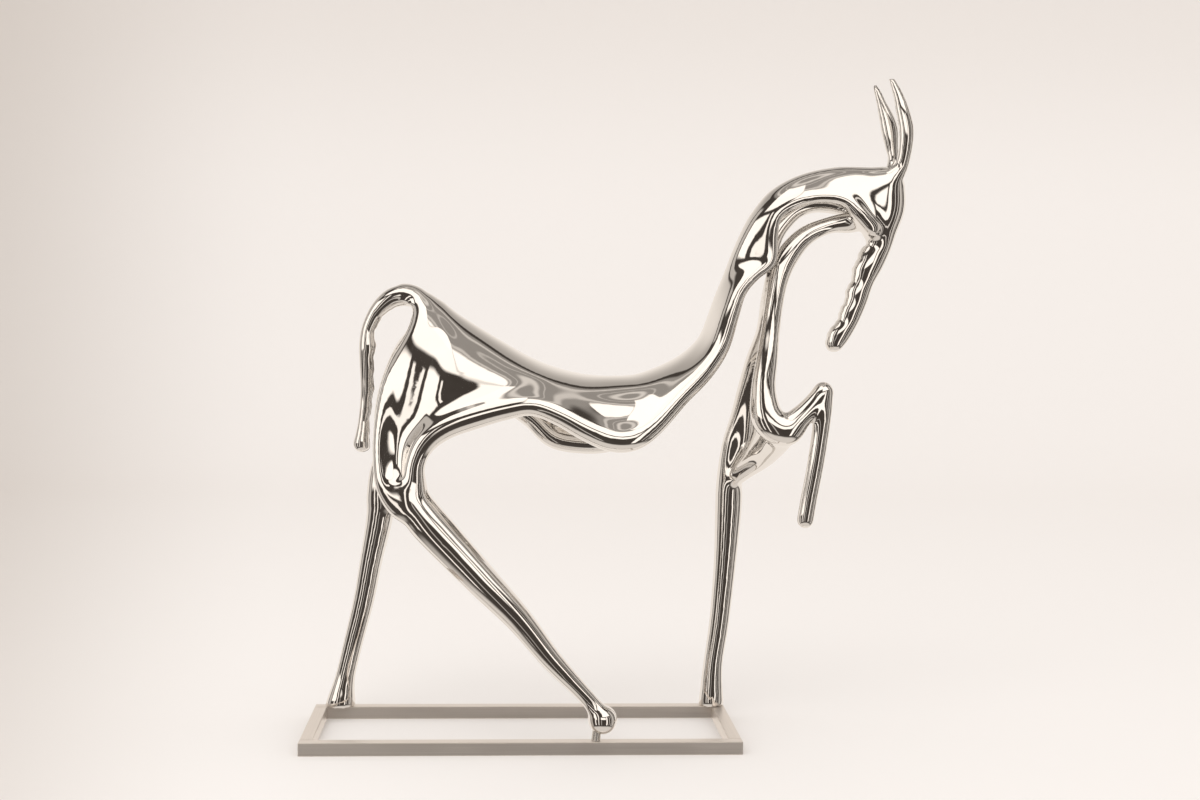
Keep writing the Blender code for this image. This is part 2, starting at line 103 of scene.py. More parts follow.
RIBS = (
    ((-0.320, 0.680), (-0.296, -0.12, 0.646, 0.0085), (-0.297, 0.12, 0.646, 0.0085)),
    ((-0.307, 0.680), (-0.293, -0.21, 0.614, 0.0092), (-0.295, 0.21, 0.614, 0.0093)),
    ((-0.291, 0.675), (-0.316, -0.33, 0.587, 0.0091), (-0.321, 0.33, 0.585, 0.0094)),
    ((-0.283, 0.670), (-0.335, -0.48, 0.536, 0.0098), (-0.343, 0.48, 0.532, 0.0110)),
    ((-0.278, 0.667), (-0.344, -0.61, 0.479, 0.0113), (-0.354, 0.61, 0.476, 0.0127)),
    ((-0.274, 0.665), (-0.344, -0.73, 0.424, 0.0134), (-0.352, 0.73, 0.421, 0.0135)),
    ((-0.269, 0.662), (-0.334, -0.80, 0.376, 0.0171), (-0.357, 0.79, 0.372, 0.0199)),
    ((-0.263, 0.658), (-0.308, -0.84, 0.347, 0.0208), (-0.352, 0.82, 0.338, 0.0223)),
    ((-0.255, 0.653), (-0.295, -0.86, 0.374, 0.0193), (-0.334, 0.85, 0.359, 0.0192)),
    ((-0.244, 0.644), (-0.294, -0.89, 0.410, 0.0156), (-0.320, 0.88, 0.392, 0.0176)),
    ((-0.229, 0.633), (-0.280, -0.91, 0.443, 0.0170), (-0.299, 0.90, 0.429, 0.0160)),
    ((-0.197, 0.613), (-0.249, -0.91, 0.467, 0.0178), (-0.261, 0.91, 0.458, 0.0160)),
    ((-0.163, 0.593), (-0.205, -0.91, 0.484, 0.0185), (-0.209, 0.91, 0.478, 0.0160)),
    ((-0.127, 0.573), (-0.161, -0.91, 0.496, 0.0170), (-0.161, 0.91, 0.491, 0.0160)),
    ((-0.097, 0.560), (-0.120, -0.91, 0.502, 0.0163), (-0.121, 0.91, 0.472, 0.0168)),
    ((-0.063, 0.550), (-0.079, -0.91, 0.488, 0.0170), (-0.084, 0.91, 0.438, 0.0168)),
    ((-0.030, 0.544), (-0.041, -0.91, 0.468, 0.0185), (-0.040, 0.91, 0.429, 0.0168)),
    ((0.004, 0.543), (-0.002, -0.90, 0.453, 0.0200), (0.002, 0.90, 0.431, 0.0168)),
    ((0.037, 0.545), (0.031, -0.88, 0.455, 0.0200), (0.043, 0.88, 0.448, 0.0176)),
    ((0.068, 0.555), (0.062, -0.82, 0.475, 0.0178), (0.081, 0.82, 0.478, 0.0176)),
    ((0.099, 0.570), (0.100, -0.70, 0.514, 0.0155), (0.118, 0.70, 0.514, 0.0167)),
    ((0.121, 0.586), (0.138, -0.55, 0.552, 0.0158), (0.151, 0.55, 0.553, 0.0158)),
    ((0.139, 0.607), (0.165, -0.42, 0.591, 0.0151), (0.174, 0.42, 0.595, 0.0149)),
    ((0.152, 0.642), (0.182, -0.33, 0.640, 0.0137), (0.189, 0.33, 0.641, 0.0133)),
    ((0.162, 0.671), (0.196, -0.28, 0.675, 0.0114), (0.205, 0.28, 0.677, 0.0117)),
    ((0.173, 0.699), (0.219, -0.26, 0.700, 0.0091), (0.226, 0.26, 0.701, 0.0094)),
    ((0.185, 0.732), (0.244, -0.24, 0.719, 0.0076), (0.251, 0.24, 0.720, 0.0078)),
    ((0.198, 0.763), (0.248, -0.26, 0.748, 0.0061), (0.262, 0.26, 0.759, 0.0094)),
    ((0.215, 0.795), (0.252, -0.28, 0.787, 0.0061), (0.273, 0.28, 0.781, 0.0117)),
    ((0.245, 0.831), (0.277, -0.29, 0.808, 0.0068), (0.293, 0.29, 0.802, 0.0125)),
    ((0.290, 0.856), (0.317, -0.29, 0.819, 0.0076), (0.321, 0.29, 0.812, 0.0125)),
    ((0.345, 0.869), (0.356, -0.27, 0.815, 0.0091), (0.357, 0.27, 0.809, 0.0125)),
    ((0.397, 0.870), (0.377, -0.25, 0.798, 0.0122), (0.386, 0.25, 0.800, 0.0140)),
    ((0.439, 0.869), (0.400, -0.21, 0.774, 0.0137), (0.405, 0.21, 0.778, 0.0140)),
)
print(len(RIBS), "ribs")

# %% [markdown]
# ## The bars
#
# Legs, throat, chest band, tail, head and ears thicken and thin along their length. The hind
# legs flow out of the haunches; the throat bar comes down the neck, turns at the chest and
# becomes the raised foreleg.

# %% Bars
FORWARD_HIND_LEG = (
    (-0.313, -0.84, 0.373, 0.0193),
    (-0.298, -0.84, 0.357, 0.0260),
    (-0.278, -0.84, 0.330, 0.0290),
    (-0.249, -0.85, 0.298, 0.0286),
    (-0.194, -0.89, 0.240, 0.0252),
    (-0.137, -0.93, 0.181, 0.0203),
    (-0.088, -0.97, 0.121, 0.0162),
    (-0.033, -1.00, 0.063, 0.0122),
    (-0.011, -1.00, 0.032, 0.0177),
)
HOOF = (*FORWARD_HIND_LEG[-1][:3], 0.0221)
REAR_HIND_LEG = (
    (-0.354, 0.79, 0.359, 0.0191),
    (-0.357, 0.82, 0.337, 0.0223),
    (-0.360, 0.85, 0.304, 0.0211),
    (-0.373, 0.90, 0.239, 0.0181),
    (-0.385, 0.94, 0.173, 0.0168),
    (-0.403, 0.98, 0.099, 0.0157),
    (-0.415, 1.00, 0.046, 0.0162),
    (-0.422, 1.00, 0.002, 0.0238),
    (-0.423, 1.00, -0.011, 0.0241),
)
THROAT = (
    (0.398, 0.00, 0.800, 0.0190),
    (0.374, 0.00, 0.785, 0.0172),
    (0.339, 0.00, 0.779, 0.0131),
    (0.302, 0.00, 0.762, 0.0154),
    (0.275, -0.03, 0.732, 0.0177),
    (0.261, -0.07, 0.698, 0.0154),
    (0.253, -0.12, 0.661, 0.0143),
    (0.246, -0.21, 0.616, 0.0147),
    (0.239, -0.33, 0.570, 0.0167),
    (0.233, -0.42, 0.525, 0.0189),
    (0.239, -0.48, 0.482, 0.0249),
    (0.265, -0.52, 0.464, 0.0250),
    (0.287, -0.55, 0.484, 0.0180),
    (0.307, -0.55, 0.505, 0.0158),
    (0.322, -0.55, 0.523, 0.0157),
)
RAISED_SHIN = (
    (0.322, -0.55, 0.523, 0.0160),
    (0.323, -0.54, 0.496, 0.0138),
    (0.320, -0.53, 0.465, 0.0136),
    (0.313, -0.52, 0.411, 0.0132),
    (0.305, -0.48, 0.360, 0.0131),
    (0.300, -0.47, 0.326, 0.0131),
)
STANDING_FORELEG = (
    (0.251, 0.06, 0.712, 0.0071),
    (0.245, 0.12, 0.662, 0.0096),
    (0.243, 0.27, 0.615, 0.0112),
    (0.232, 0.42, 0.567, 0.0140),
    (0.222, 0.55, 0.524, 0.0134),
    (0.213, 0.65, 0.478, 0.0136),
    (0.202, 0.73, 0.429, 0.0151),
    (0.201, 0.80, 0.372, 0.0207),
    (0.201, 0.85, 0.323, 0.0216),
    (0.198, 0.91, 0.240, 0.0183),
    (0.191, 0.96, 0.141, 0.0164),
    (0.182, 1.00, 0.065, 0.0161),
    (0.180, 1.00, 0.001, 0.0207),
    (0.180, 1.00, -0.012, 0.0209),
)
CHEST_BAND = (
    (0.197, 0.76, 0.366, 0.0135),
    (0.222, 0.55, 0.391, 0.0150),
    (0.247, 0.24, 0.415, 0.0164),
    (0.259, -0.18, 0.441, 0.0191),
    (0.265, -0.52, 0.464, 0.0218),
)
TAIL = (
    (-0.306, 0.00, 0.660, 0.0150),
    (-0.320, 0.00, 0.662, 0.0160),
    (-0.335, 0.00, 0.658, 0.0154),
    (-0.349, 0.00, 0.647, 0.0142),
    (-0.361, 0.00, 0.632, 0.0123),
    (-0.371, 0.00, 0.610, 0.0108),
    (-0.372, 0.00, 0.586, 0.0131),
    (-0.373, 0.00, 0.560, 0.0114),
    (-0.372, 0.00, 0.520, 0.0105),
    (-0.375, 0.00, 0.486, 0.0092),
    (-0.378, 0.00, 0.458, 0.0099),
    (-0.380, 0.00, 0.434, 0.0136),
)
HEAD = (
    (0.424, 0.00, 0.837, 0.0316),
    (0.423, 0.00, 0.808, 0.0331),
    (0.417, 0.00, 0.777, 0.0283),
    (0.418, 0.00, 0.750, 0.0192),
    (0.403, 0.00, 0.723, 0.0223),
    (0.392, 0.00, 0.695, 0.0188),
    (0.382, 0.00, 0.664, 0.0185),
    (0.372, 0.00, 0.636, 0.0170),
    (0.359, 0.00, 0.612, 0.0170),
    (0.350, 0.00, 0.598, 0.0159),
)
LEFT_EAR = (
    (0.435, -0.12, 0.855, 0.0138),
    (0.445, -0.12, 0.868, 0.0107),
    (0.450, -0.18, 0.895, 0.0110),
    (0.451, -0.21, 0.925, 0.0119),
    (0.444, -0.21, 0.955, 0.0107),
    (0.438, -0.18, 0.976, 0.0085),
    (0.431, -0.18, 0.992, 0.0064),
    (0.426, -0.18, 1.003, 0.0046),
)
RIGHT_EAR = (
    (0.439, 0.12, 0.860, 0.0124),
    (0.441, 0.15, 0.885, 0.0093),
    (0.438, 0.18, 0.904, 0.0109),
    (0.435, 0.21, 0.928, 0.0137),
    (0.430, 0.21, 0.946, 0.0124),
    (0.421, 0.18, 0.968, 0.0084),
    (0.415, 0.18, 0.984, 0.0064),
    (0.410, 0.18, 0.995, 0.0046),
)
CHEST_RIBS = (
    ((0.256, -0.07, 0.696), (0.249, 0.09, 0.694)),
    ((0.252, -0.12, 0.661), (0.244, 0.12, 0.662)),
    ((0.246, -0.21, 0.616), (0.241, 0.27, 0.615)),
    ((0.239, -0.33, 0.570), (0.230, 0.42, 0.567)),
    ((0.236, -0.42, 0.525), (0.220, 0.55, 0.524)),
    ((0.248, -0.49, 0.480), (0.211, 0.65, 0.478)),
    ((0.258, -0.40, 0.448), (0.203, 0.73, 0.429)),
    ((0.247, 0.05, 0.418), (0.199, 0.78, 0.380)),
)
print("bars ready")

# %% [markdown]
# ## From shares to metres, and smooth lines
#
# A smooth line passes through its points: between two of them it is a cubic whose slope at each
# point is half the way from the point before to the point after.

# %% Lines in metres


def place(points):
    """Shares to metres: x, z and radius times the figure's height, y times the stance."""
    p = np.array(points, float)
    out = p * FIGURE_HEIGHT
    out[:, 1] = p[:, 1] * STANCE
    out[:, 2] += RAIL_TOP
    return out


def smooth_line(points, steps):
    """Cubic through the points: b + t/2 (c-a + t(2a-5b+4c-d + t(3(b-c)+d-a)))."""
    p = np.vstack((2 * points[0] - points[1], points, 2 * points[-1] - points[-2]))
    t = np.arange(steps)[:, None] / steps
    out = []
    for a, b, c, d in zip(p, p[1:], p[2:], p[3:]):
        out.append(b + t / 2 * (c - a + t * (2 * a - 5 * b + 4 * c - d + t * (3 * (b - c) + d - a))))
    return np.vstack(out + [points[-1:]])


STEPS = 6
line = smooth_line(place(TAIL), STEPS)
print("tail length", round(float(np.linalg.norm(np.diff(line[:, :3], axis=0), axis=1).sum()), 3))

# %% [markdown]
# ## A field of distances
#
# Welded and polished steel has no seams, so the figure is made as one surface. We fill a grid of
# small cells with the signed distance to each shape, join the shapes where they meet with a soft
# minimum, which leaves a fillet like a ground weld, and then draw the surface where the distance
# is nought.

# %% Grid
CELL = 0.0050
BORDER = 5
FAR = 0.06
REACH = 0.026

origin = horse_low - BORDER * CELL
shape = tuple(int(n) for n in np.ceil((horse_high - horse_low) / CELL) + 2 * BORDER + 1)


def new_field():
    """A grid that is far from everything."""
    return np.full(shape, FAR, np.float32)


def cells_around(low, high):
    """Slices of the grid cells between two corners, and the points at their middles."""
    first = np.clip(np.floor((low - origin) / CELL).astype(int), 0, np.array(shape) - 1)
    last = np.clip(np.ceil((high - origin) / CELL).astype(int) + 1, 1, np.array(shape))
    ranges = [origin[i] + CELL * np.arange(first[i], last[i]) for i in range(3)]
    x, y, z = np.meshgrid(*ranges, indexing="ij", sparse=True)
    return tuple(slice(a, b) for a, b in zip(first, last)), x, y, z


print("grid", shape, "cells", round(np.prod(shape) / 1e6, 1), "million")

# %% [markdown]
# ## Distance to a bar
#
# For each short piece of a bar we find the nearest place t on it, from 0 to 1, and take the
# distance to that place less the radius there. A flattened bar is measured in a space squeezed
# side to side, and the distance is put right by the length of its slope.

# %% Bars into the grid


def add_bar(field, points, width=1.0, steps=STEPS):
    """field = min(field, |p - (a + t(b-a))| - radius(t)) for every piece from a to b."""
    line = smooth_line(place(points), steps)
    middle = line[:, 1].mean()
    for a, b in zip(line, line[1:]):
        reach = max(a[3], b[3]) + REACH
        low = np.minimum(a, b)[:3] - reach
        high = np.maximum(a, b)[:3] + reach
        where, x, y, z = cells_around(low, high)
        y = middle + (y - middle) / width
        step = b[:3] - a[:3]
        qx, qy, qz = x - a[0], y - a[1], z - a[2]
        t = np.clip((qx * step[0] + qy * step[1] + qz * step[2]) / max(step @ step, 1e-9), 0, 1)
        dx, dy, dz = qx - t * step[0], qy - t * step[1], qz - t * step[2]
        far = np.sqrt(dx * dx + dy * dy + dz * dz) + 1e-9
        slope = np.sqrt(dx * dx + (dy / width) ** 2 + dz * dz) / far
        distance = (far - (a[3] + t * (b[3] - a[3]))) / slope
        field[where] = np.minimum(field[where], distance.astype(np.float32))


def add_ball(field, point, width=1.0):
    """field = min(field, |p - centre| - radius), with y divided by width: a ball or an egg."""
    x, y, z, radius = place((point,))[0]
    where, gx, gy, gz = cells_around(np.array((x, y, z)) - radius - REACH,
                                     np.array((x, y, z)) + radius + REACH)
    far = np.sqrt((gx - x) ** 2 + ((gy - y) / width) ** 2 + (gz - z) ** 2)
    field[where] = np.minimum(field[where], (far - radius).astype(np.float32))


trial = new_field()
add_ball(trial, HOOF)
print("the hoof's ball fills", int((trial < 0).sum()), "cells")


# %% [markdown]
# ## Distance to a skin
#
# A skin is a grid of points, cut into triangles. For every triangle we look only at the cells
# close by, and measure to its plane where the cell lies over it, else to its nearest edge. All
# triangles are worked through together in batches.

# %% Distance to triangles


def dot(a, b):
    """Sum of products along the last axis."""
    return (a * b).sum(-1)


def edge_distance(p, a, b):
    """Squared distance from p to the line from a to b."""
    step = b - a
    t = np.clip(dot(p - a, step) / dot(step, step), 0, 1)
    return dot(p - a - t[..., None] * step, p - a - t[..., None] * step)


def triangle_distance(p, a, b, c):
    """Distance from points to triangles: the plane's inside all three edges, else an edge's."""
    normal = np.cross(b - a, c - a)
    inside = np.ones(p.shape[:-1], bool)
    for start, end in ((a, b), (b, c), (c, a)):
        inside &= dot(np.cross(normal, end - start), p - start) >= 0
    plane = dot(p - a, normal) ** 2 / dot(normal, normal)
    edges = np.minimum(edge_distance(p, a, b), edge_distance(p, b, c))
    edges = np.minimum(edges, edge_distance(p, c, a))
    return np.sqrt(np.where(inside, plane, edges))


print("triangle distances ready")

# %% [markdown]
# ## Skins into the grid
#
# Only cells within SKIN_REACH of a triangle matter. The triangles go in from small to big, so
# that those of one batch need about as many cells each.

# %% Skins into the grid
BATCH = 260
SKIN_REACH = 0.018


def add_skin(field, rows, thickness):
    """field = min(field, distance to the sheet through the rows less half the thickness)."""
    a, b = rows[:-1, :-1].reshape(-1, 3), rows[:-1, 1:].reshape(-1, 3)
    c, d = rows[1:, 1:].reshape(-1, 3), rows[1:, :-1].reshape(-1, 3)
    triangles = np.vstack((np.stack((a, b, c), 1), np.stack((a, c, d), 1)))
    size = np.linalg.norm(np.cross(triangles[:, 1] - triangles[:, 0],
                                   triangles[:, 2] - triangles[:, 0]), axis=1)
    triangles = triangles[size > 1e-9]
    centre = triangles.mean(1)
    spread = np.linalg.norm(triangles - centre[:, None], axis=2).max(1)
    flat = field.reshape(-1)
    order = np.argsort(spread)
    for start in range(0, len(order), BATCH):
        some = order[start:start + BATCH]
        near = int(np.ceil((SKIN_REACH + spread[some].max()) / CELL))
        offsets = np.stack(np.meshgrid(*[np.arange(-near, near + 1)] * 3, indexing="ij"), -1)
        offsets = offsets.reshape(-1, 3)
        cells = np.round((centre[some] - origin) / CELL).astype(int)[:, None] + offsets
        ok = ((cells >= 0) & (cells < np.array(shape))).all(-1)
        p = origin + cells * CELL
        corners = triangles[some][:, None]
        far = triangle_distance(p, corners[:, :, 0], corners[:, :, 1], corners[:, :, 2])
        index = (cells[..., 0] * shape[1] + cells[..., 1]) * shape[2] + cells[..., 2]
        np.minimum.at(flat, index[ok], (far[ok] - thickness / 2).astype(np.float32))


def inward(rows, depth):
    """The sheet moved along its own normal, towards the inside, by a depth."""
    along = np.gradient(rows, axis=0)
    across = np.gradient(rows, axis=1)
    normal = np.cross(along, across)
    normal /= np.linalg.norm(normal, axis=2, keepdims=True) + 1e-12
    return rows - normal * depth


print("a batch holds", BATCH, "triangles")

# %% [markdown]
# ## The back and the chest as sheets
#
# Each rib is two quarter ovals: from the spine out and down to the rim on either side. With an
# angle a from 0 to a right angle, the height falls with 1 - cos a and the side grows with sin a,
# and a swell of a tenth fills out the flank. The chest is bowed forwards between its two bars.

# %% Sheets
SKIN = 0.0095
RIB_STEPS = 27
FLANK_BULGE = 0.10
CHEST_BULGE = 0.022


def back_rows():
    """Spine + (rim - spine)(1 - cos a) in x and z; rim y times sin a times the swell."""
    spine = smooth_line(place([(x, 0.0, z) for (x, z), left, right in RIBS]), STEPS)
    left = smooth_line(place([rib[1] for rib in RIBS]), STEPS)
    right = smooth_line(place([rib[2] for rib in RIBS]), STEPS)
    angle = np.linspace(0, np.pi / 2, RIB_STEPS)[:, None]
    rows = []
    for top, one, two in zip(spine, left, right):
        halves = []
        for rim in (one, two):
            half = top + (rim[:3] - top) * (1 - np.cos(angle))
            swell = 1 + FLANK_BULGE * np.sin(2 * angle)
            half[:, 1] = (rim[1] * np.sin(angle) * swell)[:, 0]
            halves.append(half)
        rows.append(np.vstack((halves[0][::-1], halves[1][1:])))
    return np.array(rows)


def chest_rows():
    """Straight from bar to bar, pushed forwards by sin(pi s) times the bulge."""
    left = smooth_line(place([rib[0] for rib in CHEST_RIBS]), STEPS)
    right = smooth_line(place([rib[1] for rib in CHEST_RIBS]), STEPS)
    share = np.linspace(0, 1, RIB_STEPS)[:, None]
    rows = []
    for one, two in zip(left, right):
        row = one + (two - one) * share
        reach = np.linalg.norm(two - one) / STANCE
        row[:, 0] += (np.sin(np.pi * share) * CHEST_BULGE * reach)[:, 0]
        rows.append(row)
    return np.array(rows)


back = back_rows()
chest = chest_rows()
print("back sheet", back.shape, "chest sheet", chest.shape)

# %% [markdown]
# ## Joining the shapes
#
# The soft minimum of two distances a and b with a fillet size k is their plain minimum wherever
# they differ by more than k. Closer than that it dips below both by h squared times k / 4, where
# h is 1 - |a - b| / k.

# %% Soft joins


def soft_min(a, b, size):
    """min(a, b) - h h k / 4 with h = max(0, 1 - |a - b| / k)."""
    h = np.maximum(0, 1 - np.abs(a - b) / size)
    return np.minimum(a, b) - h * h * size / 4


def blurred(field, rounds):
    """Quarter, half, quarter along each axis, repeated."""
    for _ in range(rounds):
        for axis in range(3):
            ahead, behind = np.roll(field, 1, axis), np.roll(field, -1, axis)
            field = (field * 2 + ahead + behind) / 4
    return field


print("two equal distances of 0, joined over 10 mm:", soft_min(0.0, 0.0, 0.010))

# %% [markdown]
# ## The body
#
# The rims are joined with the hind legs, and the back skin with both, each over its own width:
# wide where the weld was ground to a hollow, narrow where two forms only touch.

# %% Body
LEG_JOIN = 0.014
SKIN_JOIN = 0.012

rims = new_field()
add_bar(rims, [rib[1] for rib in RIBS])
add_bar(rims, [rib[2] for rib in RIBS])
legs = new_field()
for bar in (FORWARD_HIND_LEG, REAR_HIND_LEG):
    add_bar(legs, bar)
add_ball(legs, HOOF)
rims = soft_min(rims, legs, LEG_JOIN)

skins = new_field()
add_skin(skins, inward(back, SKIN / 2), SKIN)
steel = soft_min(rims, skins, SKIN_JOIN)
print("body cells", int((steel < 0).sum()))

# %% [markdown]
# ## The front
#
# The throat bar, the standing foreleg and the band across the chest hold the chest's skin. The
# raised shin hangs from the end of the throat bar with a crease at the knee, so its join is
# narrow.

# %% Front
CHEST_JOIN = 0.014
SHIN_JOIN = 0.003
FRONT_JOIN = 0.008

front = new_field()
for bar in (THROAT, STANDING_FORELEG, CHEST_BAND):
    add_bar(front, bar)
chest_skin = new_field()
add_skin(chest_skin, chest, SKIN)
front = soft_min(front, chest_skin, CHEST_JOIN)

shin = new_field()
add_bar(shin, RAISED_SHIN)
add_ball(shin, RAISED_SHIN[0])
add_ball(shin, RAISED_SHIN[-1])
front = soft_min(front, shin, SHIN_JOIN)
steel = soft_min(steel, front, FRONT_JOIN)
print("cells with the front", int((steel < 0).sum()))

# %% [markdown]
# ## Tail, head and ears
#
# Tail and head run into the body. Then the whole field is blurred once, which rounds every weld
# a little. The face and the tail are hammered into soft lumps: two crossing waves that push the
# surface out and in. The ears come last, so that their thin tips stay.

# %% Tail, head and ears
HEAD_WIDTH = 0.80
EAR_WIDTH = 0.55
END_JOIN = 0.012
EAR_JOIN = 0.006
LUMP_LENGTH, LUMP_START = 0.048, 1.7
LUMPS = 2 * np.pi / LUMP_LENGTH
CROSS_RATE, CROSS_LEAN, CROSS_SIDE = 2.3, 0.6, 60
# shift forwards as a share of the figure's height, then reach and height in metres
FACE_LUMPS = (-0.012, 0.030, 0.0032)
TAIL_LUMPS = (0.008, 0.022, 0.0020)


def add_lumps(field, points, shift, reach, height):
    """field -= height (sin a + half sin b) / 1.5, fading to nought at reach from a shifted line."""
    line = smooth_line(place(points), STEPS)[:, :3] + (shift * FIGURE_HEIGHT, 0, 0)
    where, x, y, z = cells_around(line.min(0) - reach, line.max(0) + reach)
    far = np.full(np.broadcast_shapes(x.shape, y.shape, z.shape), np.inf)
    for point in line:
        far = np.minimum(far, (x - point[0]) ** 2 + (y - point[1]) ** 2 + (z - point[2]) ** 2)
    share = np.clip(1 - np.sqrt(far) / reach, 0, 1)
    cross = CROSS_RATE * LUMPS * (z + CROSS_LEAN * x) + CROSS_SIDE * y
    wave = np.sin(LUMPS * z + LUMP_START) + np.sin(cross) / 2
    field[where] -= (height * np.minimum(1, 2 * share) * wave / 1.5).astype(np.float32)


ends = new_field()
add_bar(ends, TAIL)
add_ball(ends, TAIL[-1])
add_bar(ends, HEAD, HEAD_WIDTH)
add_ball(ends, HEAD[0], HEAD_WIDTH)
add_ball(ends, HEAD[-1], HEAD_WIDTH)
steel = soft_min(steel, ends, END_JOIN)

steel = blurred(steel, 1)
add_lumps(steel, HEAD[3:], *FACE_LUMPS)
add_lumps(steel, TAIL[2:], *TAIL_LUMPS)

ears = new_field()
add_bar(ears, LEFT_EAR, EAR_WIDTH)
add_bar(ears, RIGHT_EAR, EAR_WIDTH)
steel = soft_min(steel, ears, EAR_JOIN)

foot_level = float(horse_low[2])
heights = (origin[2] + CELL * np.arange(shape[2])).astype(np.float32)
steel = np.maximum(steel, foot_level - heights)
print("steel cells", int((steel < 0).sum()))

# %% [markdown]
# ## Reading the field
#
# Between the middles of the cells the field is mixed from the eight values around, and its
# slope, which points out of the steel, comes from values a small step apart.

# %% Values and slopes


def sample(field, points):
    """Value of the field at points, mixed from the eight cells around each."""
    q = (points - origin) / CELL
    base = np.clip(np.floor(q).astype(int), 0, np.array(shape) - 2)
    f = q - base
    total = np.zeros(len(points))
    for i in (0, 1):
        for j in (0, 1):
            for k in (0, 1):
                share = (np.abs(1 - i - f[:, 0]) * np.abs(1 - j - f[:, 1])
                         * np.abs(1 - k - f[:, 2]))
                total += share * field[base[:, 0] + i, base[:, 1] + j, base[:, 2] + k]
    return total


def slope_at(field, points, step):
    """Central differences of the sampled field."""
    out = np.zeros_like(points)
    for axis in range(3):
        move = np.zeros(3)
        move[axis] = step
        out[:, axis] = sample(field, points + move) - sample(field, points - move)
    return out / (2 * step)


print("value at the corner of the grid", float(sample(steel, origin[None])[0]))

# %% [markdown]
# ## Drawing the surface
#
# A cell whose eight corners are not all inside or all outside holds a piece of the surface. Its
# vertex is the mean of the places where its edges cross nought, and each crossed grid edge gives
# one four-sided face between the four cells around it.

# %% Surface


def surface(field):
    """Vertices and outward faces where the field is nought, and each cell's vertex number."""
    inside = field < 0
    corner = [(i, j, k) for i in (0, 1) for j in (0, 1) for k in (0, 1)]
    n = np.array(shape) - 1
    count = np.zeros(n, np.uint8)
    for i, j, k in corner:
        count += inside[i:i + n[0], j:j + n[1], k:k + n[2]]
    cells = np.argwhere((count > 0) & (count < 8))
    number = np.full(n, -1, np.int64)
    number[tuple(cells.T)] = np.arange(len(cells))
    value = {c: field[cells[:, 0] + c[0], cells[:, 1] + c[1], cells[:, 2] + c[2]].astype(float)
             for c in corner}
    total, hits = np.zeros((len(cells), 3)), np.zeros(len(cells))
    for c in corner:
        for axis in range(3):
            if c[axis]:
                continue
            e = tuple(v + (axis == m) for m, v in enumerate(c))
            f0, f1 = value[c], value[e]
            crossed = (f0 < 0) != (f1 < 0)
            t = np.where(crossed, f0 / np.where(crossed, f0 - f1, 1), 0)
            spot = np.array(c, float)[None] + t[:, None] * np.eye(3)[axis]
            total += spot * crossed[:, None]
            hits += crossed
    verts = origin + CELL * (cells + total / hits[:, None])
    faces = []
    for axis in range(3):
        one, two = (axis + 1) % 3, (axis + 2) % 3
        lower = [slice(0, s) for s in shape]
        upper = [slice(0, s) for s in shape]
        lower[axis], upper[axis] = slice(0, -1), slice(1, None)
        change = inside[tuple(lower)] != inside[tuple(upper)]
        edges = np.argwhere(change)
        keep = (edges[:, one] > 0) & (edges[:, two] > 0)
        keep &= (edges[:, one] < n[one]) & (edges[:, two] < n[two])
        edges = edges[keep]
        quad = []
        for da, db in ((-1, -1), (0, -1), (0, 0), (-1, 0)):
            cell = edges.copy()
            cell[:, one] += da
            cell[:, two] += db
            quad.append(number[tuple(cell.T)])
        quad = np.stack(quad, 1)
        leaves = inside[tuple(edges.T)]
        quad[~leaves] = quad[~leaves][:, ::-1]
        faces.append(quad)
    return verts, np.vstack(faces), number


verts, faces, number = surface(steel)
print("surface", len(verts), "vertices", len(faces), "faces")

# %% [markdown]
# ## Settling the vertices
#
# The first vertices sit a little beside the true surface and unevenly. Each round moves them
# half way to the middle of their neighbours, but only sideways, and then slides them onto the
# surface along the slope of the field.

# %% Settled surface
SETTLE_ROUNDS = 4
MARGIN = 0.0002


def neighbour_mean(values, faces):
    """Mean of the values at the other ends of a vertex's edges."""
    pairs = np.vstack([faces[:, [i, (i + 1) % 4]] for i in range(4)])
    pairs = np.vstack((pairs, pairs[:, ::-1]))
    total = [np.bincount(pairs[:, 0], values[pairs[:, 1], i], len(values)) for i in range(3)]
    return np.stack(total, 1) / np.bincount(pairs[:, 0], minlength=len(values))[:, None]


def settled(field, verts, faces, rounds):
    """Sideways evening out, then a step of -value times slope over slope squared."""
    for turn in range(rounds):
        if turn:
            mean = neighbour_mean(verts, faces)
            slope = slope_at(field, verts, CELL / 2)
            slope /= np.linalg.norm(slope, axis=1, keepdims=True) + 1e-9
            move = (mean - verts) * 0.5
            verts = verts + move - slope * dot(move, slope)[:, None]
        slope = slope_at(field, verts, CELL / 2)
        value = sample(field, verts)
        verts = verts - slope * (value / (dot(slope, slope) + 1e-9))[:, None]
    return verts


verts = settled(steel, verts, faces, SETTLE_ROUNDS)
verts = np.clip(verts, horse_low + MARGIN, horse_high - MARGIN)
print("settled between", verts.min(0).round(4), "and", verts.max(0).round(4))

# %% [markdown]
# ## Normals of polished steel
#
# A mirror shows every unevenness, so the normals matter more than the faces. They come from the
# slope of a slightly blurred field. On the skins, which were hammered and ground even, each
# normal then moves half way to the mean of its neighbours', again and again. The thinned mesh of
# the next step takes its normals from these: each of its vertices adds up those in the cells
# around it, the nearest counting most.

# %% Normals
NORMAL_BLUR = 4
EVEN_ROUNDS = 44
EVEN_REACH, EVEN_START = 0.014, 1.25
NORMAL_REACH = 1.6 * CELL


def unit(vectors):
    """Vectors of length one."""
    return vectors / (np.linalg.norm(vectors, axis=1, keepdims=True) + 1e-9)


